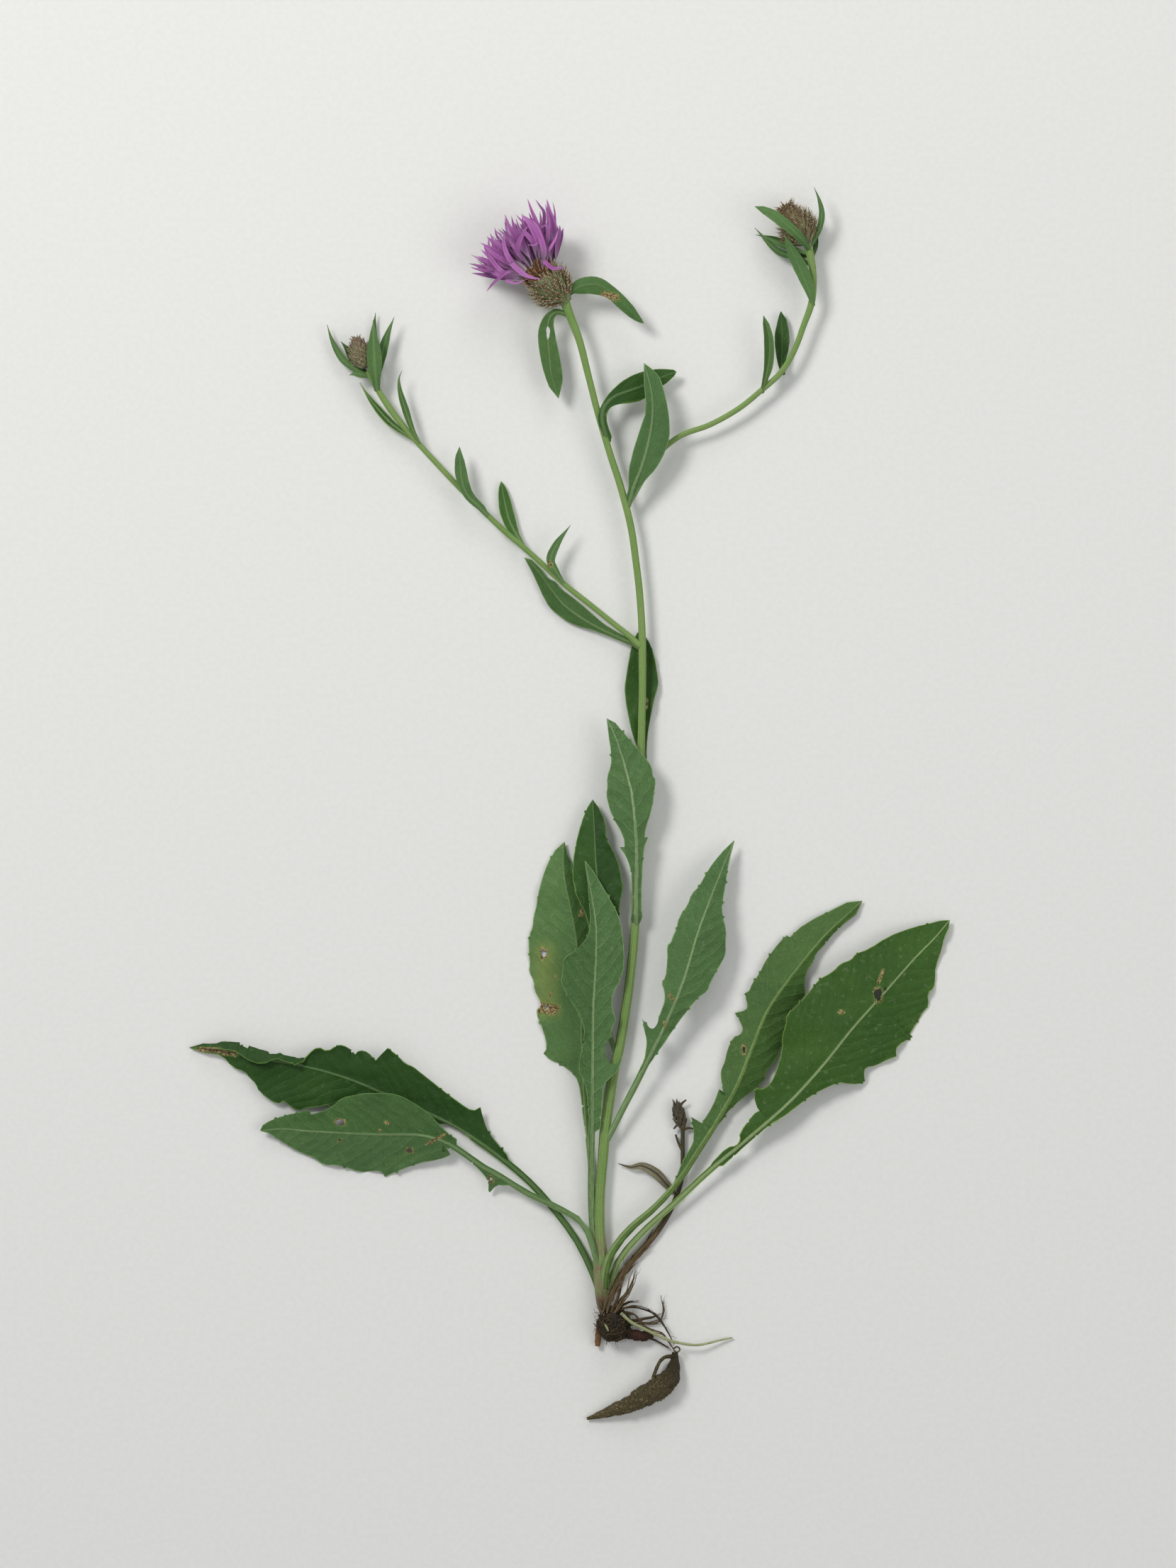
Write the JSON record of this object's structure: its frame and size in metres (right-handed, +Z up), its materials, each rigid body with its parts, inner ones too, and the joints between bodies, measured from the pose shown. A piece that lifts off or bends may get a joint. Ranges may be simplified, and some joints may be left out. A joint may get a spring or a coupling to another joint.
{
  "type": "brown knapweed plant",
  "caption": "Whole uprooted brown knapweed lying flat: mauve thistle-like flower head on a ribbed stem with budded side branches, toothed basal leaves, crown and roots.",
  "frame": {"origin": "centre of the bounding box at the surface the plant lies on", "axes": "+Y along the plant from its roots to its flower, +X across it, +Z up from the surface it lies on"},
  "size_m": [0.2999, 0.4856, 0.0298],
  "materials": {
    "stem": "yellow-green ribbed stem, satin",
    "leaf_face": "dark green leaf upper side, satin, with a pale midrib",
    "leaf_back": "pale grey-green leaf underside, matt, with raised veins",
    "scales": "green overlapping scales with brown fringed tips, matt",
    "petal": "mauve-pink floret lobes, soft matt",
    "shaggy": "buff-brown fringed scales, matt",
    "bark": "dark brown frayed root crown, matt",
    "red_root": "dark red fuzzy young rhizome, matt",
    "white_root": "smooth white young root, satin",
    "cork": "pitted grey-tan dead rhizome, matt",
    "straw": "dry straw-coloured stalk, matt"
  },
  "bodies": {
    "root": {"main_stem": "stem", "left_branch": "stem", "right_branch": "stem", "leaf_far_left_back": "leaf_face", "leaf_far_left_front": "leaf_back", "leaf_basal_left_back": "leaf_back", "leaf_stem_left": "leaf_face", "leaf_basal_left_front": "leaf_back", "leaf_stem_right": "leaf_back", "leaf_basal_right_back": "leaf_back", "leaf_basal_right_front": "leaf_face", "leaf_mid_front": "leaf_back", "leaf_mid_back": "leaf_face", "leaf_branch_axil": "leaf_back", "leaf_upper_dark": "leaf_face", "leaf_upper_pale": "leaf_back", "leaf_head_right": "leaf_back", "leaf_head_left": "leaf_back", "leaf_left_c": "leaf_back", "leaf_left_d": "leaf_face", "leaf_right_a": "leaf_back", "leaf_right_b": "leaf_face", "right_bud_leaf_1": "leaf_back", "right_bud_leaf_2": "leaf_back", "leaf_left_a": "leaf_face", "leaf_left_b": "leaf_back", "leaf_left_e": "leaf_back", "left_bud_leaf_1": "leaf_back", "left_bud_leaf_2": "leaf_face", "left_bud_leaf_3": "leaf_back", "left_bud_leaf_4": "leaf_back", "left_bud_leaf_5": "leaf_face", "left_bud_leaf_6": "leaf_back", "right_bud_leaf_3": "leaf_back", "right_bud_leaf_4": "leaf_face", "right_bud_leaf_5": "leaf_back", "right_bud_leaf_6": "leaf_back", "right_bud_leaf_7": "leaf_face", "flower_base": "scales", "florets": "petal", "left_bud": "scales", "right_bud": "shaggy", "root_ball": "bark", "red_rhizome": "red_root", "white_root": "white_root", "dead_rhizome": "cork", "old_stalk": "straw", "dry_leaf": "straw"}
  },
  "joints": []
}
